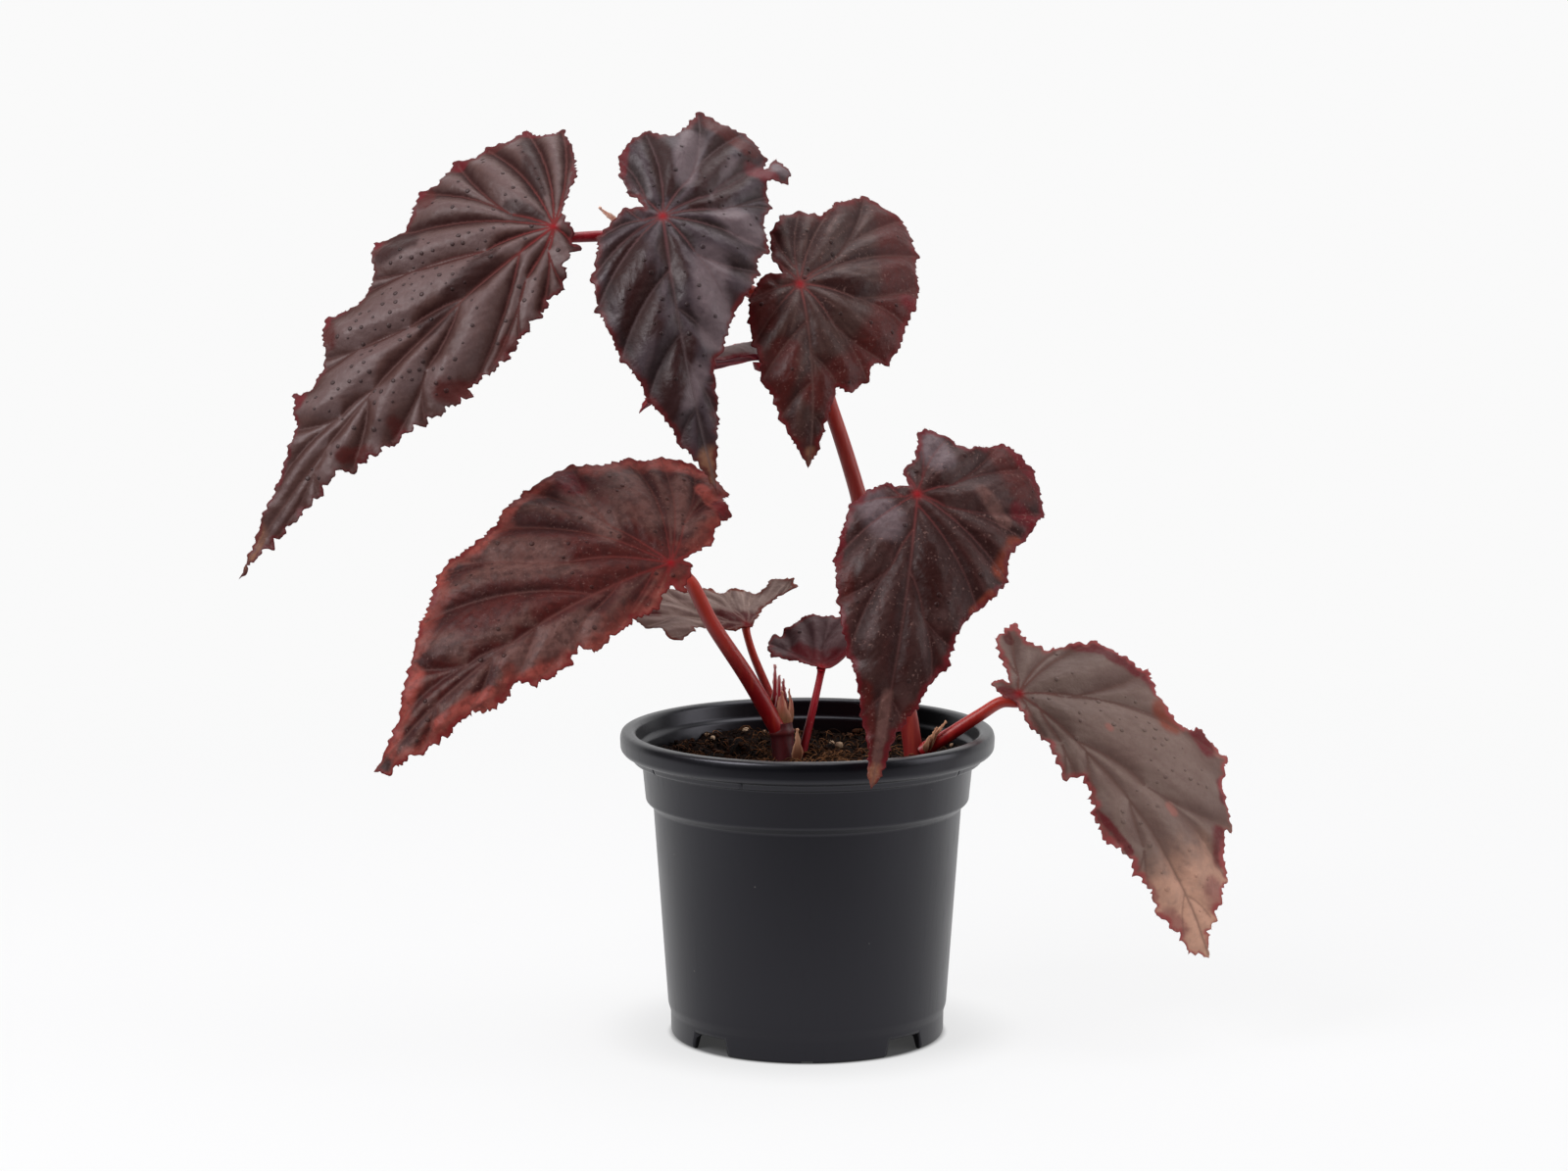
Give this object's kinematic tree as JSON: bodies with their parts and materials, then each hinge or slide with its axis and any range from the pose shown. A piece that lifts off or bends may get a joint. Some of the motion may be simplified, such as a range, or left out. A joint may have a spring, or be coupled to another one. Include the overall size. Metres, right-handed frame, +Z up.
{
  "type": "potted begonia",
  "caption": "Potted cane begonia: large oblique toothed dark maroon leaves on red stalks and an arching cane, in a black round nursery pot filled with potting mix.",
  "frame": {"origin": "centre of the pot's base, on the surface that the pot stands on", "axes": "+Z up along the pot's axis, -Y towards the side that the leaves face, +X to the right as seen from that side"},
  "size_m": [0.337, 0.1384, 0.3177],
  "materials": {
    "pot": "black satin moulded plastic with faint vertical streaks",
    "soil": "dark brown fibrous potting mix with cream crumbs",
    "cane": "orange-red translucent stem, slightly glossy",
    "stub": "dark crimson stem, slightly glossy",
    "petiole": "orange-red to crimson leaf stalk, darker at the foot",
    "blade_dark": "charcoal to maroon leaf, satin, quilted between sunken veins",
    "blade_red": "maroon-red leaf with pale grey veins and coral margin",
    "blade_taupe": "taupe-brown leaf with dark sunken veins and crimson margin",
    "bract": "dry papery tan bract",
    "shoot": "tan-pink bud with pink and white tips"
  },
  "bodies": {
    "root": {"pot": "pot", "soil": "soil", "cane_tall": "cane", "cane_short": "stub", "blade_upper_left": "blade_taupe", "petiole_upper_left": "petiole", "blade_top_middle": "blade_dark", "petiole_top_middle": "petiole", "blade_top_right": "blade_dark", "petiole_top_right": "petiole", "blade_middle_left": "blade_red", "petiole_middle_left": "petiole", "blade_middle_right": "blade_dark", "petiole_middle_right": "petiole", "blade_lower_right": "blade_taupe", "petiole_lower_right": "petiole", "blade_low_left": "blade_taupe", "petiole_low_left": "petiole", "blade_low_middle": "blade_dark", "petiole_low_middle": "petiole", "blade_behind": "blade_red", "petiole_behind": "petiole", "young_shoot": "shoot", "stipule_apex": "bract", "bract_right": "bract", "bract_left": "bract"}
  },
  "joints": []
}
